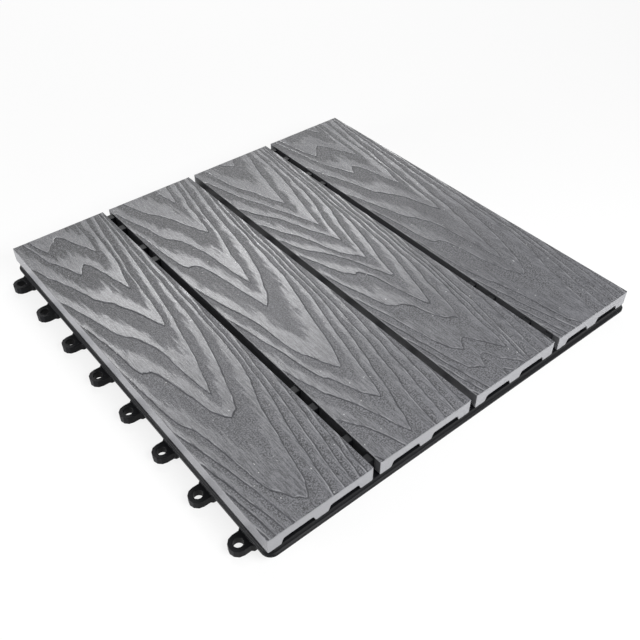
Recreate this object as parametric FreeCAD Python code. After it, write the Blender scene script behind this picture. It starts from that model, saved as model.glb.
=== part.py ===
import FreeCAD
import Part
import math
import os
from FreeCAD import Vector

# Interlocking deck tile: four extruded wood-plastic slats screwed from below to one
# moulded base. Slats run along Y. Z = 0 is the ground under the feet, and the origin is
# the middle of the base. Loops stand out of the left (-X) and rear (+Y) sides, and the
# pins that drop into a neighbour's loops hang inside the front (-Y) and right (+X) sides.
# All sizes are in millimetres.

# Slats
slat_count = 4
slat_width = 69.5
slat_length = 298.0
slat_thickness = 11.0
slat_gap = 5.0
slat_edge_chamfer = 0.6
slat_foot_chamfer = 1.0

# Troughs along the underside of each slat, with slanting sides and chamfered corners
trough_count = 2
trough_mouth = 22.0
trough_ceiling = 19.0
trough_depth = 4.0
trough_chamfer = 1.0

# Rim of the base: a wall with a flange on top and a lip round its lower edge
base_height = 11.0
left_ledge = 0.7
right_ledge = 4.0
end_ledge = 0.9
corner_radius = 6.0
lip_reach = 1.1
lip_edge = 1.4
lip_slope = 0.8
rim_wall = 2.0
rim_flange = 7.0
flange_thickness = 2.0

# Lattice and feet: ribs across at every step and along at every second step, where a
# plus-shaped foot stands under each crossing that is clear of the screws
cell_count = 10
rib_thickness = 2.0
foot_cell_count = 2
foot_arm = 5.0
foot_flare = 2.0
foot_to_pad = 12.5

# Spacer tabs in the first and last gap between slats, in pairs from both ends
tab_pairs = 2
tab_pair_pitch = 46.5
tab_spacing = 17.0
tab_end_distance = 8.2
tab_length = 5.0
tab_drop = 1.5
tab_clearance = 0.2
tab_strip_margin = 1.2

# Loops and pins
lug_count = 8
lug_end_sides = 6
lug_height = 5.0
lug_hole_radius = 2.9
lug_wall = 2.7
lug_reach = 5.3
lug_flare = 1.2
lug_root = 9.0
slide_clearance = 0.2
pin_clearance = 0.25
pin_ground_clearance = 0.6
pin_root_margin = 0.4
end_joint = 0.2
side_joint = 2.3

# Screws, and the square pads of the base that they clamp. The screws repeat, so their
# round stretches and holes are drawn with a few flat sides.
screw_cell_counts = (-3, 0, 3)
screw_sides = 8
screw_head_radius = 3.75
screw_head_height = 2.2
screw_shank_radius = 1.7
screw_length = 13.0
screw_tip = 1.8
pad_margin = 1.75
shank_clearance = 0.2
pilot_clearance = 0.05
pilot_extra_depth = 0.3

# Worked out from the sizes above
block_width = slat_count * slat_width + (slat_count - 1) * slat_gap
base_width = left_ledge + block_width + right_ledge
base_length = slat_length + 2 * end_ledge
pitch_x = base_width + side_joint
pitch_y = base_length + end_joint
lug_radius = lug_hole_radius + lug_wall
lug_x = -base_width / 2 - lug_reach
lug_y = base_length / 2 + lug_reach
pin_radius = lug_hole_radius - pin_clearance
pin_x = lug_x + pitch_x
pin_y = lug_y - pitch_y
rim_bottom = lug_height + slide_clearance
rim_inset = lip_reach + rim_wall
flange_bottom = base_height - flange_thickness
leg_width = (slat_width - trough_count * trough_mouth) / (trough_count + 1)
tab_thickness = slat_gap - 2 * tab_clearance
tab_top = base_height + slat_thickness - tab_drop
pad_size = 2 * (screw_head_radius + pad_margin)

# Places that repeat, counted from the middle of the base
lug_steps = [i - (lug_count - 1) / 2 for i in range(lug_count)]
rib_steps = [i - cell_count // 2 for i in range(1, cell_count)]
foot_steps = [step for step in rib_steps if step % foot_cell_count == 0]
cell_x = pitch_x / cell_count
cell_y = pitch_y / cell_count


def slat_left(index):
    """Left edge of a slat, counted from 0 at the loop side."""
    return -base_width / 2 + left_ledge + index * (slat_width + slat_gap)


def screw_places(index):
    """Axes of one slat's screws, on cross ribs under its middle leg."""
    leg = (trough_count + 1) // 2
    x = slat_left(index) + leg_width / 2 + leg * (leg_width + trough_mouth)
    return [(x, row * cell_y) for row in screw_cell_counts]


def outline(points):
    """Closed wire through points."""
    return Part.makePolygon(points + [points[0]])


def screw_ring(x, y, radius, height):
    """Level wire with a few flat sides round a screw's axis, its corners on the radius."""
    turns = [2 * math.pi * i / screw_sides for i in range(screw_sides)]
    return outline([Vector(x + radius * math.cos(turn), y + radius * math.sin(turn), height) for turn in turns])


def screw_bar(x, y, radius, bottom, top):
    """Upright bar on a screw ring."""
    return Part.Face(screw_ring(x, y, radius, bottom)).extrude(Vector(0, 0, top - bottom))


def slat_profile(left):
    """End profile of a slat in the XZ plane: two troughs between three legs."""
    bottom = base_height
    top = base_height + slat_thickness
    right = left + slat_width
    slant = (trough_mouth - trough_ceiling) / 2
    points = [(left + slat_edge_chamfer, top), (left, top - slat_edge_chamfer)]
    points += [(left, bottom + slat_foot_chamfer), (left + slat_foot_chamfer, bottom)]
    mouth = left + leg_width
    for _ in range(trough_count):
        ceiling = bottom + trough_depth
        far = mouth + trough_mouth
        points.append((mouth, bottom))
        points.append((mouth + slant, ceiling - trough_chamfer))
        points.append((mouth + slant + trough_chamfer, ceiling))
        points.append((far - slant - trough_chamfer, ceiling))
        points.append((far - slant, ceiling - trough_chamfer))
        points.append((far, bottom))
        mouth = far + leg_width
    points += [(right - slat_foot_chamfer, bottom), (right, bottom + slat_foot_chamfer)]
    points += [(right, top - slat_edge_chamfer), (right - slat_edge_chamfer, top)]
    return outline([Vector(x, -slat_length / 2, z) for x, z in points])


def slat(index):
    """One extruded slat with the pilot holes of its screws."""
    solid = Part.Face(slat_profile(slat_left(index))).extrude(Vector(0, slat_length, 0))
    hole_top = rim_bottom + screw_length + pilot_extra_depth
    radius = screw_shank_radius + pilot_clearance
    holes = [screw_bar(x, y, radius, base_height, hole_top) for x, y in screw_places(index)]
    return solid.cut(Part.makeCompound(holes))


def screw(x, y):
    """Pan-head screw, head down against its pad: head, shank and point."""
    tip = rim_bottom + screw_length
    point_start = tip - screw_tip
    head = screw_bar(x, y, screw_head_radius, rim_bottom - screw_head_height, rim_bottom)
    shank = screw_bar(x, y, screw_shank_radius, rim_bottom, point_start)
    ring = screw_ring(x, y, screw_shank_radius, point_start)
    point = Part.makeLoft([ring, Part.Vertex(x, y, tip)], True, True)
    return head.multiFuse([shank, point])


def opening(inset, bottom, top):
    """Square-cornered space inside the rim between two heights, moved inwards by inset."""
    x = base_width / 2 - inset
    y = base_length / 2 - inset
    return Part.makeBox(2 * x, 2 * y, top - bottom, Vector(-x, -y, bottom))


def rim_outline(inset, height):
    """Rounded rectangle round the base at a height, moved inwards by inset."""
    radius = corner_radius - inset
    x = base_width / 2 - corner_radius
    y = base_length / 2 - corner_radius
    arcs = []
    for quarter, (corner_x, corner_y) in enumerate([(x, y), (-x, y), (-x, -y), (x, -y)]):
        centre = Vector(corner_x, corner_y, height)
        arcs.append(Part.makeCircle(radius, centre, Vector(0, 0, 1), 90 * quarter, 90 * quarter + 90))
    sides = []
    for arc, following in zip(arcs, arcs[1:] + arcs[:1]):
        sides.append(Part.makeLine(arc.Vertexes[-1].Point, following.Vertexes[0].Point))
    return Part.Wire(Part.__sortEdges__(arcs + sides))


def rim_layer(inset, bottom, top):
    """Full plate inside the rim outline between two heights."""
    return Part.Face(rim_outline(inset, bottom)).extrude(Vector(0, 0, top - bottom))


def rim():
    """Wall, top flange and outer lip of the base, all round."""
    edge_top = rim_bottom + lip_edge
    wall_start = edge_top + lip_slope
    lip = rim_layer(0, rim_bottom, edge_top)
    slope = Part.makeLoft([rim_outline(0, edge_top), rim_outline(lip_reach, wall_start)], True, True)
    wall = rim_layer(lip_reach, wall_start, base_height)
    inside = opening(rim_inset, rim_bottom, flange_bottom)
    deck_opening = opening(lip_reach + rim_flange, flange_bottom, base_height)
    return lip.multiFuse([slope, wall]).cut(inside.fuse(deck_opening))


def rib(half_length, foot_places):
    """Rib along X on the middle line, with a tapered foot at each given place."""
    points = [(-half_length, base_height), (-half_length, rim_bottom)]
    for place in foot_places:
        points.append((place - foot_arm - foot_flare, rim_bottom))
        points.append((place - foot_arm, 0))
        points.append((place + foot_arm, 0))
        points.append((place + foot_arm + foot_flare, rim_bottom))
    points += [(half_length, rim_bottom), (half_length, base_height)]
    start = -rib_thickness / 2
    side = Part.Face(outline([Vector(along, start, height) for along, height in points]))
    return side.extrude(Vector(0, rib_thickness, 0))


def foot_stands(column, row):
    """Whether a crossing carries a foot: on both foot lines and clear of every screw pad."""
    if column not in foot_steps or row not in foot_steps:
        return False
    reach = foot_arm + foot_flare + pad_size / 2 + foot_to_pad
    places = [place for index in range(slat_count) for place in screw_places(index)]
    return all(max(abs(x - column * cell_x), abs(y - row * cell_y)) > reach for x, y in places)


def lattice():
    """Ribs both ways from rim wall to rim wall, with their feet."""
    ribs = []
    for row in rib_steps:
        feet = [column * cell_x for column in foot_steps if foot_stands(column, row)]
        cross = rib(base_width / 2 - rim_inset, feet)
        cross.translate(Vector(0, row * cell_y, 0))
        ribs.append(cross)
    for column in foot_steps:
        feet = [row * cell_y for row in foot_steps if foot_stands(column, row)]
        along = rib(base_length / 2 - rim_inset, feet)
        along.rotate(Vector(0, 0, 0), Vector(0, 0, 1), 90)
        along.translate(Vector(column * cell_x, 0, 0))
        ribs.append(along)
    return ribs


def lug():
    """Loop that points along -X from the rim edge at the origin, with its root behind it."""
    width = lug_radius + lug_flare
    waist = -lug_flare
    turns = [math.pi * (1 / 2 + i / lug_end_sides) for i in range(lug_end_sides + 1)]
    points = [(-lug_reach + lug_radius * math.cos(turn), lug_radius * math.sin(turn)) for turn in turns]
    points += [(waist, -lug_radius), (0, -width), (0, width), (waist, lug_radius)]
    tab = Part.Face(outline([Vector(x, y, 0) for x, y in points])).extrude(Vector(0, 0, lug_height))
    root = Part.makeBox(lug_root, 2 * width, rim_bottom + lip_edge, Vector(0, -width, 0))
    hole = Part.makeCylinder(lug_hole_radius, lug_height, Vector(-lug_reach, 0, 0))
    return tab.fuse(root).cut(hole)


def lugs():
    """Loops of the left side, and of the rear side, where they are turned a quarter."""
    row = []
    for step in lug_steps:
        left = lug()
        left.translate(Vector(-base_width / 2, step * pitch_y / lug_count, 0))
        rear = lug()
        rear.rotate(Vector(0, 0, 0), Vector(0, 0, 1), -90)
        rear.translate(Vector(step * pitch_x / lug_count, base_length / 2, 0))
        row += [left, rear]
    return row


def pin(x, y):
    """Round pin that hangs from the underside of the rim."""
    return Part.makeCylinder(pin_radius, rim_bottom - pin_ground_clearance, Vector(x, y, pin_ground_clearance))


def pins():
    """Pins of the right side and of the front side, one pitch from the loops."""
    row = []
    for step in lug_steps:
        row.append(pin(pin_x, step * pitch_y / lug_count))
        row.append(pin(step * pitch_x / lug_count, pin_y))
    return row


def pin_rails():
    """Bars inside the right wall and the front wall that widen the rim over its pins."""
    inner_x = base_width / 2 - rim_inset
    inner_y = base_length / 2 - rim_inset
    height = flange_bottom - rim_bottom
    left = pin_x - pin_radius - pin_root_margin
    back = pin_y + pin_radius + pin_root_margin
    right_rail = Part.makeBox(inner_x - left, 2 * inner_y, height, Vector(left, -inner_y, rim_bottom))
    front_rail = Part.makeBox(2 * inner_x, back + inner_y, height, Vector(-inner_x, -inner_y, rim_bottom))
    return [right_rail, front_rail]


def screw_pads():
    """Square pad round each screw, as deep as the ribs, with the hole for the shank."""
    pads = []
    holes = []
    depth = base_height - rim_bottom
    for index in range(slat_count):
        for x, y in screw_places(index):
            corner = Vector(x - pad_size / 2, y - pad_size / 2, rim_bottom)
            pads.append(Part.makeBox(pad_size, pad_size, depth, corner))
            holes.append(screw_bar(x, y, screw_shank_radius + shank_clearance, rim_bottom, base_height))
    return pads, Part.makeCompound(holes)


def tab_places():
    """Middles of the spacer tabs along one gap."""
    outer = base_length / 2 - tab_end_distance
    places = []
    for pair in range(tab_pairs):
        for extra in (0, tab_spacing):
            y = outer - pair * tab_pair_pitch - extra
            places += [y, -y]
    return places


def spacer_tabs():
    """Flat strip under the first and the last gap, with the tabs that stand up between slats."""
    pieces = []
    strip_width = tab_thickness + 2 * tab_strip_margin
    strip_length = base_length - 2 * rim_inset
    for index in (0, slat_count - 2):
        centre = slat_left(index) + slat_width + slat_gap / 2
        corner = Vector(centre - strip_width / 2, -strip_length / 2, flange_bottom)
        pieces.append(Part.makeBox(strip_width, strip_length, flange_thickness, corner))
        for y in tab_places():
            corner = Vector(centre - tab_thickness / 2, y - tab_length / 2, flange_bottom)
            pieces.append(Part.makeBox(tab_thickness, tab_length, tab_top - flange_bottom, corner))
    return pieces


def tile_base():
    """The whole moulding: rim, lattice, feet, pads, tabs, loops and pins in one solid."""
    pads, shank_holes = screw_pads()
    joined = rim().multiFuse(lattice() + pads + spacer_tabs() + lugs() + pins() + pin_rails())
    return joined.cut(shank_holes).removeSplitter()


def build():
    """All nodes of the tile by name."""
    nodes = {"tile_base": tile_base()}
    for index in range(slat_count):
        name = "slat_" + str(index + 1)
        nodes[name] = slat(index)
        nodes[name + "_screws"] = Part.makeCompound([screw(x, y) for x, y in screw_places(index)])
    return nodes


os.makedirs("parts", exist_ok=True)
for name, shape in build().items():
    shape.exportStep(os.path.join("parts", name + ".step"))
    print(name, len(shape.Solids), "solids", round(shape.Volume), "mm3", shape.isValid())
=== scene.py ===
# %% [markdown]
# The object is a square floor tile for balconies: four grey wood-plastic slats on a black
# moulded base. The solids come packed as a frame that is loaded first, and every new piece
# is built over them in the same place, in metres.

# %% Load the frame
import math
import bpy
import numpy as np
from mathutils import Matrix, Vector


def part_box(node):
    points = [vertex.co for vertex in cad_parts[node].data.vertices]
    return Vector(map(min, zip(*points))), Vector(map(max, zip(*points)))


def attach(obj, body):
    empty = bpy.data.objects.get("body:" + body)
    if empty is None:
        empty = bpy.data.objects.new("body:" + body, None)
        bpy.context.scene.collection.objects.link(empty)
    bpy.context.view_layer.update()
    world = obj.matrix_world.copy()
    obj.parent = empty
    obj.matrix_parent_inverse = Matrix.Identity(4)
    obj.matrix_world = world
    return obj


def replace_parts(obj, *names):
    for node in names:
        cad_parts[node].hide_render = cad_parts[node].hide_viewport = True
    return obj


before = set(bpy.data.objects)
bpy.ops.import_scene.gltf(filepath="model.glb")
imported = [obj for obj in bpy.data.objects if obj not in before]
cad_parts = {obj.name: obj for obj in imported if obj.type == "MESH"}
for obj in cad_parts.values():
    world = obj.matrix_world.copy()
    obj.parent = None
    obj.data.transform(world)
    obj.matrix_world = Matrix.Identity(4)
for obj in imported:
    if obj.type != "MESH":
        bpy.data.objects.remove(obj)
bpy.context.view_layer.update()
MM = 0.001
slat_names = [name for name in sorted(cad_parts)
              if name.startswith("slat_") and not name.endswith("screws")]

# %% [markdown]
# A shader can be drawn with dozens of separate nodes, but its maths is easier to read as
# ordinary expressions. The class below wraps one output socket, so that a sum or a product
# of two sockets adds the Math node by itself. The reflected forms let a number stand first,
# as in 1 - mask.

# %% Sockets in expressions
class Wire:
    """One output socket, with arithmetic that adds Math nodes."""

    def __init__(self, tree, socket):
        self.tree = tree
        self.socket = socket

    def maths(self, operation, first, second=0.0, clamp=False):
        settings = {"operation": operation, "use_clamp": clamp}
        return self.tree.node("ShaderNodeMath", settings, {0: first, 1: second})

    def __add__(self, other):
        return self.maths("ADD", self, other)

    def __radd__(self, other):
        return self.maths("ADD", other, self)

    def __sub__(self, other):
        return self.maths("SUBTRACT", self, other)

    def __rsub__(self, other):
        return self.maths("SUBTRACT", other, self)

    def __mul__(self, other):
        return self.maths("MULTIPLY", self, other)

    def __rmul__(self, other):
        return self.maths("MULTIPLY", other, self)

    def __truediv__(self, other):
        return self.maths("DIVIDE", self, other)

    def fraction(self):
        """What is left of the value over its whole part."""
        return self.maths("FRACT", self)

    def clamped(self):
        """The value held between 0 and 1."""
        return self.maths("ADD", self, clamp=True)


print("a wire has", ", ".join(name for name in vars(Wire) if callable(getattr(Wire, name))))

# %% [markdown]
# Every other node comes from one method, which takes the node's type, its settings and the
# values or links of its sockets. The short methods after it stand for the few nodes that
# the finishes of this tile need: noise, smooth ramps, colour mixes and bump. The materials
# and the world are all trees of nodes, so they share these methods.

# %% Trees of nodes
class Tree:
    """An emptied node tree with its last node, and the ways to fill it."""

    def __init__(self, owner, last_kind):
        owner.use_nodes = True
        self.nodes = owner.node_tree.nodes
        self.links = owner.node_tree.links
        self.nodes.clear()
        self.last = self.nodes.new(last_kind)

    def node(self, kind, settings=None, inputs=None, output=0):
        """Adds a node: its settings first, then its sockets as numbers or links."""
        made = self.nodes.new(kind)
        for key, value in (settings or {}).items():
            setattr(made, key, value)
        for key, value in (inputs or {}).items():
            self.feed(made.inputs[key], value)
        return Wire(self, made.outputs[output])

    def feed(self, socket, value):
        """Links a wire to a socket, or sets the socket's own value."""
        if isinstance(value, Wire):
            self.links.new(value.socket, socket)
        else:
            socket.default_value = value

    def show(self, shader):
        """Ends the tree with a shader."""
        self.feed(self.last.inputs["Surface"], shader)

    def place(self):
        """The point on the piece, in metres of the frame."""
        return self.node("ShaderNodeTexCoord", output="Object")

    def attribute(self, name):
        """A number that the mesh carries at each vertex."""
        return self.node("ShaderNodeAttribute", {"attribute_name": name}, output="Fac")

    def lengthwise(self, vector):
        """Second number of a vector: its part along the boards."""
        return self.node("ShaderNodeSeparateXYZ", {}, {"Vector": vector}, "Y")

    def noise(self, vector, scale, detail, roughness, along=1.0):
        """Fractal noise between 0 and 1. An along below 1 draws it out along the boards."""
        if along != 1.0:
            drawn_out = {"Vector": vector, "Scale": (1.0, along, 1.0)}
            vector = self.node("ShaderNodeMapping", {}, drawn_out)
        sockets = {"Vector": vector, "Scale": scale, "Detail": detail, "Roughness": roughness}
        return self.node("ShaderNodeTexNoise", {}, sockets)

    def ramp(self, value, low, high):
        """Value mapped smoothly so that low gives 0 and high gives 1."""
        return self.node("ShaderNodeMapRange", {"interpolation_type": "SMOOTHSTEP"},
                         {"Value": value, "From Min": low, "From Max": high})

    def mix(self, factor, first, second):
        """Colour between two colours."""
        return self.node("ShaderNodeMix", {"data_type": "RGBA"},
                         {"Factor": factor, 6: first, 7: second}, 2)

    def bump(self, height, strength, distance, **start):
        """Normal tilted by a height, in metres of depth. Where it starts from a normal other
        than the surface's own, that one is given as Normal."""
        sockets = {"Height": height, "Strength": strength, "Distance": distance, **start}
        return self.node("ShaderNodeBump", {}, sockets)

    def seen(self):
        """1 for rays from the camera, from a gloss or through glass, and 0 for other rays."""
        camera, gloss, glass = (self.node("ShaderNodeLightPath", output=kind) for kind in
                                ("Is Camera Ray", "Is Glossy Ray", "Is Transmission Ray"))
        return (camera + gloss + glass).clamped()


print("a tree has", ", ".join(name for name in vars(Tree) if callable(getattr(Tree, name))))

# %% [markdown]
# A material is such a tree with one Principled shader. A number that is the same all over
# the surface is set on the shader's own socket. What changes over the surface is linked to
# its colour, roughness or normal, and those three can later be baked into an exported model.

# %% Materials
class Paint(Tree):
    """A material with one Principled shader, and the nodes that feed it."""

    def __init__(self, name, **constants):
        self.material = bpy.data.materials.new(name)
        super().__init__(self.material, "ShaderNodeOutputMaterial")
        self.shader = self.node("ShaderNodeBsdfPrincipled")
        self.show(self.shader)
        self.cover(**constants)

    def cover(self, **sockets):
        """Feeds sockets of the shader, whose names are written with _ for a space."""
        for name, value in sockets.items():
            self.feed(self.shader.socket.node.inputs[name.replace("_", " ")], value)


print("a paint adds", ", ".join(name for name in vars(Paint) if callable(getattr(Paint, name))))

# %% [markdown]
# Growth rings never run quite straight. The rings of each board are given further down by a
# few points each, and a little smooth noise then moves their lines, so that they look grown
# and not ruled. The noise blends random numbers on a lattice, and they come from a seed, so
# the boards are the same on every run.

# %% Smooth noise for the grain
lattice_size, lattice_start = 64, 7


def smoothstep(t):
    """3 t^2 - 2 t^3, which leaves 0 and reaches 1 without a corner."""
    return t * t * (3 - 2 * t)


def smooth_noise(across, along, cell_across, cell_along, seed):
    """Value noise: random heights on a lattice of cells, blended by smoothsteps, -1 to 1."""
    lattice = np.random.default_rng(seed).uniform(-1, 1, (lattice_size, lattice_size))
    a, b = across / cell_across + lattice_start, along / cell_along + lattice_start
    i, j = np.floor(a).astype(int), np.floor(b).astype(int)
    s, t = smoothstep(a - i), smoothstep(b - j)
    i, j, next_i, next_j = (n % lattice_size for n in (i, j, i + 1, j + 1))
    low = lattice[i, j] * (1 - s) + lattice[next_i, j] * s
    high = lattice[i, next_j] * (1 - s) + lattice[next_i, next_j] * s
    return low * (1 - t) + high * t


trial = smooth_noise(np.linspace(0, 90, 500), np.linspace(0, 40, 500), 5, 5, 1)
print("noise spread", round(float(trial.std()), 2))

# %% [markdown]
# The slats carry an embossed grain like a flat-sawn board: growth rings show as nested
# points along the middle, and run nearly straight along the edges. An image could give this
# look, but lines told by points stay sharp at any distance and give real relief as well as
# colour. A board is told ring by ring, from the near end to the far one. A ring is a few
# points, in millimetres across and along the board: it comes down one side, turns at one or
# two tips and goes up the other side.

# %% Rings of the first board
first_board = [
    [(0, -15), (15, -95), (30, -145), (45, -130), (55, -80), (60, -45), (65, 0), (69.5, 28)],
    [(0, 10), (4, -15), (15, -80), (30, -120), (45, -100), (55, -45), (60, -5), (65, 25),
     (69.5, 55)],
    [(0, 35), (3, 15), (6, -5), (15, -55), (30, -90), (45, -70), (52, -30), (56, 0), (60, 25),
     (65, 50), (69.5, 88)],
    [(0, 60), (3, 42), (6, 25), (9, 10), (11, -5), (20, -45), (30, -62), (40, -50), (46, -28),
     (50, 0), (53, 20), (57, 40), (61, 62), (65, 90), (69.5, 130)],
    [(0, 88), (3, 74), (6, 60), (9, 45), (12, 30), (15, 12), (17, 0), (21, -16), (30, -28),
     (40, -14), (44, 4), (47, 20), (50, 38), (54, 55), (58, 72), (62, 96), (65, 122),
     (69.5, 180)],
    [(0, 150), (1.5, 125), (3, 102), (6, 86), (10, 77), (13, 60), (15.5, 38), (17.5, 26),
     (21, 20), (25, 12), (31, 6), (37, 16), (40, 27), (43, 40), (46, 56), (50, 73), (56, 89),
     (60, 106), (63, 135), (65, 165), (67, 200), (69.5, 240)],
    [(0, 196), (3, 180), (5.5, 160), (7, 144), (8.5, 137), (14, 135), (17, 128), (19.5, 116),
     (21, 102), (24, 86), (28, 78), (31.5, 74), (37, 80), (42, 90), (47, 105), (52, 124),
     (57, 147), (60, 172), (62.5, 205), (65, 245), (69.5, 300)],
    [(0, 222), (5, 208), (10, 190), (13, 178), (16, 170), (20, 166), (24, 155), (27, 145),
     (28.5, 130), (29.5, 110), (31.8, 94), (35.5, 104), (39, 120), (43, 136), (48, 157),
     (51, 177), (55, 200), (59, 226), (63, 258), (67, 300), (69.5, 330)],
    [(0, 268), (4, 254), (8, 244), (12, 234), (15.5, 222), (18.5, 210), (22, 206), (27, 199),
     (32, 189), (36, 177), (38.5, 168), (41.5, 161), (44, 172), (46.5, 190), (49, 210),
     (52, 231), (56, 257), (60, 283), (64, 306), (69.5, 345)],
    [(0, 335), (5, 309), (8, 291), (12, 268), (18, 253), (24.5, 240.5), (27, 246), (30.5, 251),
     (33.5, 244), (36.5, 233), (39, 220), (42, 206.5), (44.5, 216), (48.5, 228), (50.5, 243),
     (52.5, 265), (55, 291), (60, 325), (69.5, 390)],
    [(0, 360), (9.5, 310), (12, 291), (17, 276), (22, 283), (28.5, 290), (33, 282), (38, 270),
     (44, 257), (46, 270), (47.5, 290), (50, 320), (69.5, 440)],
    [(0, 400), (15, 335), (22, 320), (30, 330), (44, 304), (52, 350), (69.5, 490)],
]
print("first board", len(first_board), "rings")

# %% [markdown]
# The second board has one row of tips, near its middle. Past the far end of the slat the
# rings go on a little, so that the pattern isn't cut off short of the edge.

# %% Rings of the second board
second_board = [
    [(0, -50), (15, -110), (32, -150), (45, -120), (53, -75), (59, -40), (64, -5), (69.5, 34)],
    [(0, -22), (15, -65), (32, -105), (45, -65), (53, -22), (59, 8), (64, 38), (69.5, 78)],
    [(0, 6), (10, -14), (20, -42), (32, -62), (42, -32), (48, -6), (53, 19), (58, 44),
     (63, 74), (69.5, 124)],
    [(0, 38), (5, 29), (10, 21), (15, 11), (18, 0), (24, -18), (32, -26), (40, -5), (44, 15),
     (48, 33), (53, 56), (58, 81), (62, 106), (65, 136), (69.5, 180)],
    [(0, 85), (3, 72), (7, 60), (11, 50), (16, 39), (21, 26), (25, 12), (27.5, 4), (32, 13),
     (37, 27), (41, 43), (45, 59), (50, 77), (55, 96), (59, 117), (62, 146), (65, 178),
     (69.5, 222)],
    [(0, 142), (4, 122), (8, 100), (10.5, 83), (14, 69), (20, 57), (24, 45), (28, 38),
     (31.5, 31), (35, 42), (39, 59), (43, 77), (47, 93), (51, 109), (55, 124), (58, 143),
     (61, 170), (64, 205), (69.5, 252)],
    [(0, 185), (2, 172), (4, 160), (7, 150), (10, 140), (12, 128), (13.5, 113), (14, 100),
     (16.5, 91), (20, 83), (23, 75), (26, 69), (29.5, 64), (33, 72), (36.5, 85), (40, 97),
     (43, 111), (47, 126), (51, 141), (55, 159), (58, 182), (62, 214), (66, 246), (69.5, 275)],
    [(0, 260), (2.5, 240), (4, 225), (6, 211), (8, 203.5), (13, 202), (16, 197), (18, 188),
     (20, 178), (22, 165), (24, 151), (26.5, 137), (31, 143), (36, 150), (41, 160), (46, 173),
     (50, 188), (53, 206), (57, 228), (62, 256), (66, 280), (69.5, 305)],
    [(0, 290), (4, 277), (8, 262), (11, 250), (14, 239), (18, 234), (22, 229), (25, 218),
     (27, 205), (28.5, 190), (30, 173), (32.3, 161.5), (35, 170), (38, 182), (40.5, 196),
     (44, 208), (47, 221), (50, 240), (54, 262), (60, 288), (69.5, 335)],
    [(0, 335), (8, 310), (13, 291), (17.5, 277), (21, 272.5), (26, 266), (30.5, 254),
     (34.5, 243), (38, 231), (41.5, 225), (44, 233), (46, 246), (49, 263), (53, 282),
     (58, 302), (69.5, 370)],
    [(0, 380), (15, 345), (28, 322), (38, 302), (40.5, 280), (42.3, 271.5), (45, 279),
     (48, 291), (52, 312), (69.5, 420)],
    [(0, 420), (20, 380), (38, 345), (44, 318), (52, 350), (69.5, 470)],
]
print("second board", len(second_board), "rings")

# %% [markdown]
# The third board has the closest rings, with a double row of tips at its near end. Only
# three boards differ: the fourth repeats the first one a little further forward, as the
# embossing roller comes round again.

# %% Rings of the third board
third_board = [
    [(0, -22), (15, -80), (45, -130), (56, -65), (62, -38), (69.5, 10)],
    [(0, 4), (6, -25), (20, -66), (45, -90), (56, -32), (62, -4), (69.5, 45)],
    [(0, 30), (5, 3), (12, -22), (25, -38), (45, -52), (52, -18), (57, 9), (62, 32), (66, 58),
     (69.5, 88)],
    [(0, 58), (4, 32), (8, 8), (11, -6), (17, -16), (23, -14), (27.5, 5), (31, -2), (37, -14),
     (43, -24), (48, 0), (52, 20), (56, 39), (60, 62), (64, 91), (69.5, 140)],
    [(0, 86), (3, 66), (6, 47), (9, 30), (12, 19), (16, 16), (21, 12), (25, 20), (28, 22),
     (33, 10), (38, 4), (43, -6), (47, 10), (51, 34), (54, 50), (58, 72), (61, 92), (64, 118),
     (69.5, 168)],
    [(0, 112), (3, 95), (6, 80), (9, 62), (12, 48), (16, 36), (21, 30), (25, 34), (28.5, 38),
     (32, 32), (36, 25), (40, 18), (43.4, 13.5), (46, 25), (49, 43), (52, 59), (56, 77),
     (59, 97), (62, 124), (65, 155), (69.5, 200)],
    [(0, 140), (3, 125), (6, 112), (9, 100), (12, 90), (16, 84), (21.5, 83), (25, 76),
     (28, 66), (32, 58), (37, 53), (41, 49), (44, 61), (47, 76), (50, 89), (55, 107),
     (58, 127), (61, 154), (64, 186), (69.5, 240)],
    [(0, 165), (4, 152), (8, 142), (12, 131), (17, 122.5), (20.5, 125), (25, 117), (28, 103),
     (30, 90), (32, 80), (35, 73), (38, 80), (42, 91), (46, 102), (50, 117), (54, 135),
     (57, 155), (60, 182), (63, 214), (69.5, 278)],
    [(0, 190), (4, 178), (8, 168), (14, 159), (18, 152), (22, 145), (26, 135), (30, 123),
     (34, 113), (37.6, 107.5), (40, 118), (43, 130), (47, 143), (51, 157), (55, 174),
     (58, 196), (61, 224), (64, 258), (69.5, 316)],
    [(0, 214), (4, 203), (8, 194), (14, 183), (18, 173), (21, 161), (24, 152), (28, 144),
     (32, 138), (35.2, 132), (37.5, 142), (40, 151), (44, 166), (48, 180), (53, 194),
     (57, 211), (60, 234), (63, 268), (69.5, 340)],
    [(0, 240), (5, 227), (10, 217), (15, 208), (20, 197), (24, 187), (28, 177), (31, 168),
     (34.6, 156.5), (37, 166), (40, 179), (44, 192), (48, 206), (52, 220), (56, 242),
     (60, 274), (69.5, 375)],
    [(0, 283), (4, 269), (8, 255), (12, 244), (17, 233), (20, 223), (23, 213), (27, 203),
     (31, 192), (34.6, 181.5), (37, 191), (39.5, 203), (42.5, 216), (46, 229), (50, 243),
     (54, 266), (57, 295), (69.5, 410)],
    [(0, 325), (9, 294), (12, 276), (15, 262), (20, 252), (24, 240), (28, 229), (31.7, 220),
     (34, 232), (37, 244), (40, 256), (43, 269), (46, 280), (51, 302), (69.5, 440)],
    [(0, 365), (12, 325), (22, 300), (32, 285), (42, 310), (52, 345), (69.5, 480)],
]
repeat_shift = 20.0
patterns = {"slat_1": (first_board, 0.0), "slat_2": (second_board, 0.0),
            "slat_3": (third_board, 0.0), "slat_4": (first_board, repeat_shift)}
print("third board", len(third_board), "rings, patterns for", list(patterns))

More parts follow.
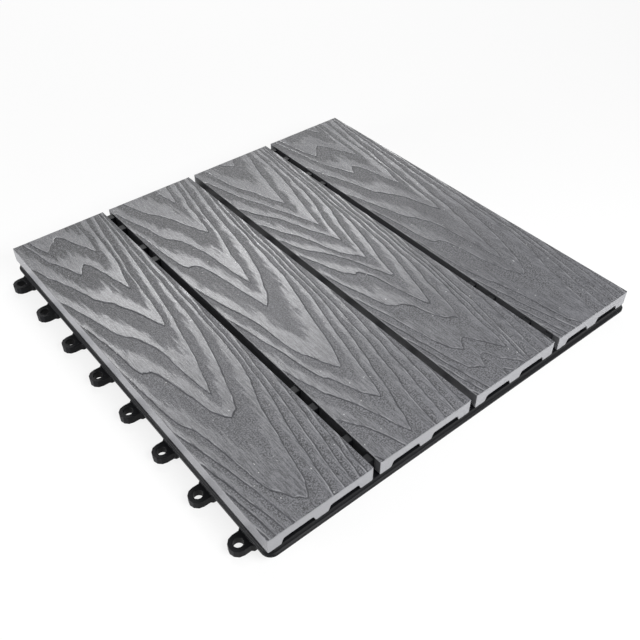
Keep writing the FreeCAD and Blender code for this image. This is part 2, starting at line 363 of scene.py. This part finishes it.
# %% [markdown]
# Relief and colour both need one smooth number at every point of a board, which counts the
# rings passed on the way along it. Its whole part changes at the ring lines, and its
# fraction says where a point lies between two of them. Each line is first read off at many
# places across the board. A further ring is added at a distance before the first and after
# the last, so that the corners of the board have their share of grain too.

# %% From rings to a number
slat_width = 69.5
side_margin, line_columns = 2.0, 368
closest_rings = 2.0
line_softness = 0.7
outer_ring = 45.0
slow_wander, fine_wander, side_wander = (2.2, 8, 26), (0.8, 2.5, 7), (0.5, 6, 14)


def wander(across, along, reach, cell_across, cell_along, seed):
    """Noise times its reach, in millimetres."""
    return reach * smooth_noise(across, along, cell_across, cell_along, seed)


def ring_heights(board, across):
    """Place of each ring along the board at each place across it. The points are joined by
    straight lines, whose corners are softened by averaging three shifted copies, and each
    ring stays at least closest_rings above the one before."""
    lines = []
    for ring in board:
        points = np.array(ring, float).T
        shifted = [np.interp(across + line_softness * step, *points) for step in (-1, 0, 1)]
        lines.append(np.mean(shifted, 0))
    apart = closest_rings * np.arange(len(lines))[:, None]
    lines = np.maximum.accumulate(np.array(lines) - apart, 0) + apart
    return np.concatenate([lines[:1] - outer_ring, lines, lines[-1:] + outer_ring])


def between_columns(place, columns):
    """For places from 0 at the first column to 1 at the last: the column before each place,
    and the share of the way to the next one."""
    last = columns - 1
    column = np.clip(place * last, 0, last - 0.001)
    before = column.astype(int)
    return before, column - before


def ring_phase(board, across, along, seed):
    """Ring number at each point of a grid: the sum over the rings of the share of the way
    from that ring to the next, held between 0 and 1. Noise moves the lines a little."""
    moved_along = (along + wander(across, along, *slow_wander, seed + 1)
                   + wander(across, along, *fine_wander, seed + 2))
    moved_across = across + wander(across, along, *side_wander, seed)
    read_at = np.linspace(-side_margin, slat_width + side_margin, line_columns)
    place = (moved_across + side_margin) / (slat_width + 2 * side_margin)
    before, share = between_columns(place, line_columns)
    places = [line[before] * (1 - share) + line[before + 1] * share
              for line in ring_heights(board, read_at)]
    phase = np.zeros(across.shape)
    for near, far in zip(places, places[1:]):
        phase += np.clip((moved_along - near) / (far - near), 0, 1)
    return phase


coarse_grid = np.meshgrid(np.linspace(0, slat_width, 8), np.linspace(0, 290, 8))
sample = ring_phase(first_board, *coarse_grid, 3)
print("ring numbers", round(float(sample.min()), 1), "to", round(float(sample.max()), 1))

# %% [markdown]
# A slat is one extruded board, so its surface is a profile carried along the length. The
# profile is the same as the solid's, with every sharp corner rounded by a small curve, as
# an extruder's die and a planing head leave it. Only the top carries many points, because
# the embossed relief is there.

# %% Profile of a slat
slat_length, slat_bottom, slat_height = 298.0, 11.0, 11.0
trough_mouth, trough_ceiling, trough_depth = 22.0, 19.0, 4.0
leg = (slat_width - 2 * trough_mouth) / 3
top_reach, foot_reach, mouth_reach, ceiling_reach = 0.35, 1.1, 0.5, 1.2
corner_points, top_points = 5, 104


def slat_corners():
    """Corners of the end profile and the reach of the curve at each, going round from the
    top left. Heights are over the slat's underside."""
    slant = (trough_mouth - trough_ceiling) / 2
    corners = [(0, slat_height, top_reach), (0, 0, foot_reach)]
    for near in (leg, 2 * leg + trough_mouth):
        far = near + trough_mouth
        corners += [(near, 0, mouth_reach), (near + slant, trough_depth, ceiling_reach)]
        corners += [(far - slant, trough_depth, ceiling_reach), (far, 0, mouth_reach)]
    corners += [(slat_width, 0, foot_reach), (slat_width, slat_height, top_reach)]
    return np.array(corners, float)


def rounded(corners):
    """Closed line with each corner replaced by a curve that leaves one edge and joins the
    next: (1 - t)^2 start + 2 t (1 - t) corner + t^2 end."""
    place, reach = corners[:, :2], corners[:, 2:]
    before = np.roll(place, 1, 0) - place
    after = np.roll(place, -1, 0) - place
    start = place + before / np.linalg.norm(before, axis=1, keepdims=True) * reach
    end = place + after / np.linalg.norm(after, axis=1, keepdims=True) * reach
    t = np.linspace(0, 1, corner_points)[None, :, None]
    curve = ((1 - t) ** 2 * start[:, None] + 2 * t * (1 - t) * place[:, None]
             + t ** 2 * end[:, None])
    return curve.reshape(-1, 2)


def slat_profile():
    """Rounded profile followed by the dense row of points along the top, right to left."""
    around = rounded(slat_corners())
    first, last = around[0], around[-1]
    across = np.linspace(last[0], first[0], top_points + 2)[1:-1]
    top = np.stack([across, np.full(top_points, slat_height)], 1)
    return np.concatenate([around, top])


profile = slat_profile()
print("profile points", len(profile))

# %% [markdown]
# Every new mesh of the tile is a tube: closed rows of points, one after the other, with
# quads between them and one flat face over each end. It could be built face by face with
# Blender's mesh tools, but whole arrays are quicker. Whether the faces point outwards
# depends on the way round, and a mesh that is inside out has a negative volume, so the
# volume is measured.

# %% Tubes
def tube_faces(rows, count, first):
    """Quads between the rows of a tube and a face over each end, as point numbers."""
    index = first + np.arange(rows * count).reshape(rows, count)
    following = np.roll(index, -1, 1)
    quads = np.stack([index[:-1], following[:-1], following[1:], index[1:]], -1).reshape(-1, 4)
    return quads.tolist() + [index[0][::-1].tolist(), index[-1].tolist()]


def tube_mesh(name, tubes):
    """One mesh from the points of one or more tubes, given in millimetres."""
    faces, first = [], 0
    for points in tubes:
        faces += tube_faces(*points.shape[:2], first)
        first += points.shape[0] * points.shape[1]
    all_points = np.concatenate([points.reshape(-1, 3) for points in tubes])
    mesh = bpy.data.meshes.new(name)
    mesh.from_pydata((all_points * MM).tolist(), [], faces)
    mesh.update()
    return mesh


def enclosed_volume(mesh):
    """Volume in cubic centimetres, positive where the faces point outwards: the sum of
    a . (b x c) / 6 over the triangles."""
    mesh.calc_loop_triangles()
    points = np.empty(3 * len(mesh.vertices))
    mesh.vertices.foreach_get("co", points)
    corners = np.empty(3 * len(mesh.loop_triangles), int)
    mesh.loop_triangles.foreach_get("vertices", corners)
    a, b, c = points.reshape(-1, 3)[corners.reshape(-1, 3)].transpose(1, 0, 2)
    return round(float((a * np.cross(b, c)).sum() / 6 / (10 * MM) ** 3), 1)


print("faces of a tube of 3 rows of 4 points", len(tube_faces(3, 4, 0)))

# %% [markdown]
# A saw leaves the ends of the boards sharp, and handling wears their edges a little. A
# Bevel modifier could round them, but it would also cut up the dense rows of the top. So
# the profile itself shrinks over the last third of a millimetre before each end.

# %% Sawn ends of a slat
stations = 420
end_break = 0.3


def station_places():
    """Places along the slat: evenly spaced, with three close together at each sawn end."""
    ends = np.array([0.0, 0.1, end_break])
    inside = np.linspace(end_break, slat_length - end_break, stations - 4)[1:-1]
    return np.concatenate([ends, inside, slat_length - ends[::-1]])


def end_shrink(along):
    """How far the profile draws in near an end: a quarter circle of radius end_break."""
    from_end = np.minimum(along, slat_length - along)
    circle = np.sqrt(np.clip(end_break ** 2 - (end_break - from_end) ** 2, 0, None))
    return np.where(from_end < end_break, end_break - circle, 0.0)


def outward(points):
    """Unit normals of a closed line that runs round anticlockwise in the view from -Y."""
    along = np.roll(points, -1, 0) - np.roll(points, 1, 0)
    along /= np.linalg.norm(along, axis=1, keepdims=True)
    return np.stack([along[:, 1], -along[:, 0]], 1)


print("rows along a slat", len(station_places()))

# %% [markdown]
# The embossing roller leaves a step at each ring line, and from there the skin sinks slowly
# towards the next line. The step has the same width in millimetres on all rings, wide or
# close, so the slope of the ring number is needed too: the fraction of the number over its
# slope is the distance from the line.

# %% Relief of the grain
relief_depth, step_width, sinking = 0.30, 0.9, 0.9
slope_columns = 140
least_slope = 1e-6


def ring_slope(board, shift, seed, across, along):
    """Rings per millimetre at each point, the length of the ring number's gradient. It comes
    from an even grid over the top and is read between the columns of that grid."""
    even = np.linspace(0, slat_width, slope_columns)
    grid = ring_phase(board, *np.meshgrid(even, along + shift), seed)
    slope = np.hypot(*np.gradient(grid, along, even))
    before, share = between_columns(across / slat_width, slope_columns)
    rows = np.arange(len(along))[:, None]
    return slope[rows, before] * (1 - share) + slope[rows, before + 1] * share


def grain_rise(phase, slope):
    """Height of the skin between 0 and 1: it rises within step_width past a ring line, by a
    smoothstep, and sinks towards the next line as a power of the share still to go."""
    part = phase - np.floor(phase)
    climb = np.clip(part / (slope + least_slope) / step_width, 0, 1)
    return smoothstep(climb) * (1 - part) ** sinking


print("relief", relief_depth, "mm deep")

# %% [markdown]
# The relief only cuts into the top: its highest ridges stay at the solid's height, and a
# mask fades it beside each edge. The ring number and its slope go into the mesh as well, as
# numbers at each vertex. They change smoothly, so the material can work out ring lines from
# them that are far finer than the mesh.

# %% Build the slats
plain_edge, edge_fade, top_tolerance = 0.4, 1.0, 0.05


def slat_mesh(name, board, shift, seed):
    """Profile carried along Y. Depth of the top is relief_depth * mask * (1 - rise). The
    profile runs the wrong way round for outward faces, so each row is turned about."""
    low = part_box(name)[0]
    left, front = low[0] / MM, low[1] / MM
    along = station_places()
    across = np.broadcast_to(profile[:, 0], (len(along), len(profile)))
    down_board = np.broadcast_to(along[:, None], across.shape)
    phase = ring_phase(board, across, down_board + shift, seed)
    slope = ring_slope(board, shift, seed, across, along)
    on_top = profile[:, 1] > slat_height - top_tolerance
    upper = np.broadcast_to(on_top, across.shape).astype(float)
    from_side = np.minimum(across, slat_width - across)
    mask = upper * np.clip((from_side - plain_edge) / edge_fade, 0, 1)
    drawn_in = profile[None] - outward(profile)[None] * end_shrink(along)[:, None, None]
    height = drawn_in[..., 1] - relief_depth * mask * (1 - grain_rise(phase, slope))
    points = np.stack([left + drawn_in[..., 0], front + down_board, slat_bottom + height], -1)
    mesh = tube_mesh(name + "_board", [points[:, ::-1]])
    for label, values in (("rings", phase), ("ring_slope", slope), ("upper", upper)):
        numbers = np.ascontiguousarray(values[:, ::-1], np.float32).ravel()
        mesh.attributes.new(label, "FLOAT", "POINT").data.foreach_set("value", numbers)
    return mesh


slat_meshes = {name: slat_mesh(name, *patterns[name], 10 * i + 3)
               for i, name in enumerate(slat_names)}
volumes = {name: enclosed_volume(mesh) for name, mesh in slat_meshes.items()}
print("slat volumes in cubic centimetres", volumes)

# %% [markdown]
# Wood-plastic board is wood flour in dark grey plastic, embossed by a heated roller. Beside
# each ring line runs a groove darkened by painted shade, and after it a crest with a painted
# highlight. Then the skin is smooth and catches the light, and towards the next line it gets
# stippled, darker and duller. All these areas follow from the mesh's ring number: its
# fraction says where a point lies, and the fraction over the slope says how many
# millimetres it lies past the line.

# %% Masks of the grain
def grain_masks(paint, place):
    """Smooth bands, grooves and crests, 1 inside and 0 outside. Noise drawn out along the
    boards makes their borders ragged."""
    rings, slope = paint.attribute("rings"), paint.attribute("ring_slope")
    uneven = paint.noise(place, 330.0, 3.0, 0.6, along=0.3)
    part = (rings + 0.9 * slope * (uneven - 0.5)).fraction()
    beyond = part / (slope + least_slope)
    streaks = paint.noise(place, 420.0, 2.0, 0.6, along=0.14)
    patchy = paint.ramp(paint.noise(place, 75.0, 2.0, 0.6, along=0.25), 0.36, 0.58)
    rough = paint.ramp(part + 0.9 * (streaks - 0.5), 0.36, 0.64)
    smooth = paint.ramp(beyond, 0.1, 0.6) * (1 - rough)
    groove_and_painted_shade = 1 - paint.ramp(beyond + 0.6 * (streaks - 0.5), 0.35, 1.05)
    crest_highlight = paint.ramp(beyond, 0.7, 1.0) * (1 - paint.ramp(beyond, 1.1, 1.7))
    return smooth, groove_and_painted_shade * (0.55 + 0.45 * patchy), crest_highlight * paint.ramp(streaks, 0.42, 0.58)


print("masks: smooth, groove, crest")

# %% [markdown]
# The skin between the lines is finely grained. The stipple is a round noise cut to dots, and
# the pores are the same noise drawn out along the board. Towards the far end coarser grains
# rise in the relief of the rough bands, and the colour adds painted shade to the rough bands
# and a painted sheen to the smooth bands. Bands that differ only in gloss would vanish in
# flat light, so they differ in colour too.

# %% Colours of the embossed top
rough_tones = (0.012, 0.0124, 0.0142, 1), (0.156, 0.157, 0.171, 1)
smooth_tones = (0.042, 0.0428, 0.0476, 1), (0.155, 0.156, 0.169, 1)
cloud_tone = (0.06, 0.061, 0.066, 1)
# Painted shade and painted sheen for the far end of the boards.
far_shade_tone, far_sheen_tone = (0.012, 0.0124, 0.0145, 1), (0.27, 0.272, 0.286, 1)
# Painted highlight of the crests, and painted shade of the grooves.
painted_highlight_tone, painted_groove_shade_tone = (0.30, 0.302, 0.316, 1), (0.026, 0.0265, 0.030, 1)
far_ramp_start, far_ramp_end = -0.04, 0.11


def top_finish(paint, place):
    """Colour, height, gloss and dots of the top. Each tone is mixed in by its mask, and the
    height is a weighted sum of the same masks."""
    smooth, groove_and_painted_shade, crest_highlight = grain_masks(paint, place)
    dots = paint.ramp(paint.noise(place, 1050.0, 1.0, 0.6), 0.41, 0.59)
    fine_dots = paint.ramp(paint.noise(place, 1700.0, 1.5, 0.6, along=0.55), 0.38, 0.62)
    pores = paint.ramp(paint.noise(place, 1350.0, 2.0, 0.6, along=0.09), 0.36, 0.62)
    grains = paint.ramp(paint.noise(place, 640.0, 1.5, 0.6, along=0.7), 0.42, 0.58)
    cloud = paint.noise(place, 30.0, 3.0, 0.55, along=0.4)
    far_relief_and_painted_light = paint.ramp(paint.lengthwise(place), far_ramp_start, far_ramp_end)
    rough_skin = paint.mix(0.58 * dots + 0.2 * fine_dots + 0.22 * pores, *rough_tones)
    smooth_skin = paint.mix(0.62 * pores + 0.38 * fine_dots, *smooth_tones)
    tone = paint.mix(smooth, rough_skin, smooth_skin)
    tone = paint.mix(0.55 * (cloud - 0.35).clamped(), tone, cloud_tone)
    # Towards the far end: painted shade over the rough bands, painted sheen over the smooth
    # bands.
    far_painted_shade = far_relief_and_painted_light * (1 - smooth) * (0.86 - 0.34 * dots - 0.48 * grains)
    tone = paint.mix(far_painted_shade, tone, far_shade_tone)
    tone = paint.mix(0.22 * far_relief_and_painted_light * smooth, tone, far_sheen_tone)
    # The crest colour is a painted highlight.
    tone = paint.mix(0.5 * crest_highlight, tone, painted_highlight_tone)
    # The groove colour is painted shade; the groove's own relief is in the height below.
    tone = paint.mix(0.85 * groove_and_painted_shade, tone, painted_groove_shade_tone)
    height = (0.5 * smooth + (1 - smooth) * 0.4 * dots
              + (1 - 0.5 * smooth) * (0.18 * pores + 0.12 * fine_dots)
              + 0.25 * far_relief_and_painted_light * (1 - smooth) * grains - 0.4 * groove_and_painted_shade)
    return tone, height, (0.10 + 0.07 * far_relief_and_painted_light) * smooth, dots


print("the grain deepens from y", far_ramp_start, "to", far_ramp_end, "m")

# %% [markdown]
# Only the top is embossed. The long sides were planed and the ends were sawn, so they are
# paler and evenly mottled. One material covers all of them: a number in the mesh marks the
# top, and the direction of the surface tells the sawn ends. A few pale specks of dust and
# fibre lie on the top.

# %% Slat material
planed_tones = (0.115, 0.116, 0.123, 1), (0.185, 0.186, 0.196, 1)
sawn_tones = (0.24, 0.242, 0.256, 1), (0.36, 0.362, 0.38, 1)
speck_tone = (0.6, 0.6, 0.6, 1)
dull, skin_depth = 0.42, 0.0002


def slat_paint():
    """Composite skin: the embossed finish where upper is 1, and planed or sawn elsewhere."""
    paint = Paint("grey_wood_plastic", Specular_IOR_Level=0.30)
    place = paint.place()
    top_tone, top_height, gloss, dots = top_finish(paint, place)
    specks = paint.ramp(paint.noise(place, 560.0, 0.0, 0.5), 0.83, 0.87)
    grit = paint.noise(place, 3000.0, 2.0, 0.7)
    mottle = (1.4 * (grit - 0.5) + 0.5).clamped()
    facing = paint.lengthwise(paint.node("ShaderNodeNewGeometry", output="True Normal"))
    end_face = paint.ramp(facing * facing, 0.3, 0.6)
    upper = paint.attribute("upper") * (1 - end_face)
    planed, sawn = paint.mix(mottle, *planed_tones), paint.mix(mottle, *sawn_tones)
    skin = paint.mix(upper, paint.mix(end_face, planed, sawn), top_tone)
    height = upper * top_height + (1 - upper) * 0.3 * grit
    paint.cover(Base_Color=paint.mix(0.6 * specks * upper, skin, speck_tone),
                Roughness=dull - gloss * upper + 0.06 * (dots - 0.5),
                Normal=paint.bump(height, 1.0, skin_depth))
    return paint.material


slat_material = slat_paint()
print("nodes in the slat material", len(slat_material.node_tree.nodes))

# %% [markdown] A mesh shows only once an object carries it in the scene. The object stays
# at the origin, because the mesh already holds its place.

# %% Dress the slats
def add_piece(name, mesh, material, body="root"):
    """Object in the scene that rides on the tile and has one material."""
    piece = bpy.data.objects.new(name, mesh)
    bpy.context.scene.collection.objects.link(piece)
    mesh.materials.append(material)
    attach(piece, body)
    return piece


for name, mesh in slat_meshes.items():
    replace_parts(add_piece(name + "_board", mesh, slat_material), name)
print("slats dressed", len(slat_meshes))

# %% [markdown]
# The base is one injection moulding in black polypropylene. Its form is already in the
# solid, so the solid stays and only gets a better material: a fine spark-eroded texture,
# slightly worn and duller in places, and a bevel worked out by the shader, which rounds
# every edge by half a millimetre without touching the mesh.

# %% Base material
black_tones = (0.0030, 0.0032, 0.0040, 1), (0.0075, 0.0079, 0.0092, 1)
soft_edge, texture_depth = 0.0005, 0.0001


def base_paint():
    """Black plastic with a fine texture and softened edges."""
    paint = Paint("black_moulded_plastic", Specular_IOR_Level=0.1)
    place = paint.place()
    fine = paint.noise(place, 2600.0, 2.0, 0.6)
    wide = paint.noise(place, 60.0, 3.0, 0.6)
    worn = (0.7 * wide + 0.4 * (fine - 0.5)).clamped()
    soft = paint.node("ShaderNodeBevel", {"samples": 6}, {"Radius": soft_edge})
    paint.cover(Base_Color=paint.mix(worn, *black_tones), Roughness=0.34 + 0.20 * wide,
                Normal=paint.bump(fine, 0.35, texture_depth, Normal=soft))
    return paint.material


base_material = base_paint()
base_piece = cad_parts["tile_base"]
for slot in base_piece.material_slots:
    slot.material = base_material
print("base slots", len(base_piece.material_slots))

# %% [markdown]
# Each slat is held by three pan-head screws driven up from below, seen only when the tile
# is turned over. A screw is a surface of revolution, with two additions to its radius and
# height: a cross recess pressed into the head, and a thread that winds up the shank. Both
# are formulas on the same grid, so a screw stays one closed surface.

# %% Shape of a screw
head_radius, head_height, dome_share = 3.75, 2.2, 0.62
shank_radius, screw_length, tip_length, tip_size = 1.6, 13.0, 1.8, 0.04
thread_pitch, thread_depth, plain_shank = 1.6, 0.35, 1.0
recess_arm, recess_wall, recess_reach, recess_end = 0.62, 0.2, 2.3, 0.5
recess_depth, recess_taper = 1.1, 3.0
turn_points, dome_rings, shank_rings = 40, 16, 66


def screw_lines():
    """Radius and height of each ring: from the middle of the head over its dome, which
    follows the square root of 1 - r^4, then under the head and up the shank."""
    dome = np.linspace(0.02, 1, dome_rings)
    bulge = np.clip(1 - dome ** 4, 0, 1) ** 0.5
    head = -head_height * (bulge * dome_share + 1 - dome_share)
    shank = np.linspace(0, screw_length, shank_rings)
    radius = [dome * head_radius, [head_radius], np.full(shank_rings, shank_radius)]
    radius, height = np.concatenate(radius), np.concatenate([head, [0], shank])
    return radius[:, None], height[:, None]


def screw_points(x, y, head_underside):
    """Rings of points of one screw. A ridge winds round the shank above plain_shank, and the
    radius fades to the tip. The recess lowers the dome by a cross-shaped mask."""
    turn = np.linspace(0, 2 * np.pi, turn_points, endpoint=False)
    radius, height = screw_lines()
    fade = np.clip((screw_length - height) / tip_length, tip_size, 1)
    winding = (height / thread_pitch - turn / (2 * np.pi)) % 1.0
    threaded = (height > plain_shank) * thread_depth
    ridge = np.clip(1 - np.abs(winding - 0.5) * 4, 0, 1) * threaded
    size = np.where(height > 0, radius * fade, radius) + (ridge - 0.5 * threaded) * fade
    along_x, along_y = size * np.cos(turn), size * np.sin(turn)
    off_arm = np.minimum(np.abs(along_x), np.abs(along_y))
    cross = np.clip((recess_arm - off_arm) / recess_wall, 0, 1) * (height < 0)
    cross = cross * np.clip((recess_reach - size) / recess_end, 0, 1)
    up = height + recess_depth * cross * np.clip(1 - size / recess_taper, 0, 1)
    return np.stack([x + along_x, y + along_y, head_underside + up], -1)


print("points of a screw", screw_points(0, 0, 0).shape[:2])

# %% [markdown]
# The screws are plated steel. Plating is never even, and a driver scratches it, so a fine
# haze changes its tone and gloss a little. Each trio takes the place of its CAD node, whose
# box gives the middle line of the slat and the underside of the heads.

# %% Build the screws
steel_tones = (0.42, 0.42, 0.43, 1), (0.62, 0.62, 0.62, 1)
screw_rows = (-90.0, 0.0, 90.0)


def screw_paint():
    """Zinc-plated steel, brushed a little by the driver."""
    paint = Paint("plated_steel", Metallic=1.0)
    haze = paint.noise(paint.place(), 900.0, 3.0, 0.6)
    paint.cover(Base_Color=paint.mix(haze, *steel_tones), Roughness=0.25 + 0.25 * haze,
                Normal=paint.bump(haze, 0.2, 0.00005))
    return paint.material


screw_material = screw_paint()
for name in slat_names:
    low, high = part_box(name + "_screws")
    middle_x, middle_y = ((low[side] + high[side]) / 2 / MM for side in (0, 1))
    head_underside = low[2] / MM + head_height
    trio = [screw_points(middle_x, middle_y + y, head_underside) for y in screw_rows]
    mesh = tube_mesh(name + "_pan_heads", trio)
    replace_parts(add_piece(name + "_pan_heads", mesh, screw_material),
                name + "_screws")
print("screws", 3 * len(slat_names), "volume of the last three", enclosed_volume(mesh))

# %% [markdown]
# The tile was photographed on a plain white ground. A pale floor takes its shadow. For the
# camera, and in reflections, the floor is partly self-lit, so that it reads white without
# more light falling on the tile. The world does the same: it is white where it is seen, and
# very dim as a light.

# %% Floor and world
floor_size, floor_glow, ambient = 6.0, 0.82, 0.02
floor_tones = (0.93, 0.93, 0.93, 1), (0.95, 0.95, 0.95, 1)
white = (1, 1, 1, 1)


def floor_paint():
    """White floor that keeps the shadow at part strength for the camera."""
    paint = Paint("white_ground", Roughness=0.9, Specular_IOR_Level=0.1)
    paint.cover(Base_Color=paint.mix(paint.noise(paint.place(), 30.0, 2.0, 0.5), *floor_tones))
    glow = paint.node("ShaderNodeEmission", {}, {"Color": white, "Strength": 1.0})
    shaders = {0: floor_glow * paint.seen(), 1: paint.shader, 2: glow}
    paint.show(paint.node("ShaderNodeMixShader", {}, shaders))
    return paint.material


half = floor_size / 2
floor_corners = [(-half, -half, 0), (half, -half, 0), (half, half, 0), (-half, half, 0)]
floor_mesh = bpy.data.meshes.new("ground")
floor_mesh.from_pydata(floor_corners, [], [(0, 1, 2, 3)])
floor_mesh.materials.append(floor_paint())
floor = bpy.data.objects.new("ground", floor_mesh)
bpy.context.scene.collection.objects.link(floor)

world = bpy.data.worlds.new("studio")
bpy.context.scene.world = world
sky = Tree(world, "ShaderNodeOutputWorld")
level = ambient + (1 - ambient) * sky.seen()
sky.show(sky.node("ShaderNodeBackground", {}, {"Color": white, "Strength": level}))
print("floor", floor_size, "m, world", ambient)

# %% [markdown]
# Three soft lamps stand round the tile. A long narrow one, far behind it on the right,
# grazes the tops, which is what draws the grain as sheen beside dark lines. One in front
# and above lights the sawn ends, and a low one on the left lights the long side. More light
# from above would turn the gaps between the slats grey.

# %% Lamps
def soft_lamp(name, place, target, along, size, watts):
    """Rectangular lamp that faces a target. Its longer side follows the direction along."""
    lamp = bpy.data.lights.new(name, "AREA")
    lamp.shape = "RECTANGLE"
    lamp.size, lamp.size_y = size
    lamp.energy = watts
    holder = bpy.data.objects.new(name, lamp)
    bpy.context.scene.collection.objects.link(holder)
    back = (Vector(place) - Vector(target)).normalized()
    side = Vector(along)
    side = (side - side.dot(back) * back).normalized()
    turn = Matrix((side, back.cross(side), back)).transposed()
    holder.matrix_world = Matrix.Translation(place) @ turn.to_4x4()


soft_lamp("lamp_behind", place=(0.67, 1.22, 1.24), target=(-0.02, 0, 0),
          along=(0.94, -0.34, 0), size=(0.97, 0.09), watts=21.5)
soft_lamp("lamp_over", place=(0.05, -0.45, 0.38), target=(0.02, -0.15, 0),
          along=(1, 0, 0), size=(0.36, 0.24), watts=3.4)
soft_lamp("lamp_left", place=(-0.8, 0.2, 0.1), target=(-0.15, 0, 0),
          along=(0, 1, 0), size=(0.5, 0.12), watts=9.2)

# %% [markdown]
# The camera was solved from the corners of the tile in the picture: it stands in front and
# to the left, looks down at about forty-three degrees, and has a lens of 44.6 mm on a
# sensor 36 mm wide.

# %% Camera
sensor_width, lens = 36.0, 44.648
camera_place = (-0.26013, -0.32676, 0.36131)
looking_down, turned_right = 42.824, 39.227

camera_data = bpy.data.cameras.new("view")
camera_data.sensor_width = sensor_width
camera_data.lens = lens
camera_data.clip_start, camera_data.clip_end = 0.01, 50.0
camera = bpy.data.objects.new("view", camera_data)
camera.location = camera_place
camera.rotation_euler = (math.radians(90 - looking_down), 0.0, math.radians(-turned_right))
bpy.context.scene.collection.objects.link(camera)
bpy.context.scene.camera = camera
bpy.context.scene.view_settings.view_transform = "Standard"
print("camera at", [round(v, 3) for v in camera.location])

# %% [markdown] The tile is dressed and lit, and the camera frames it.
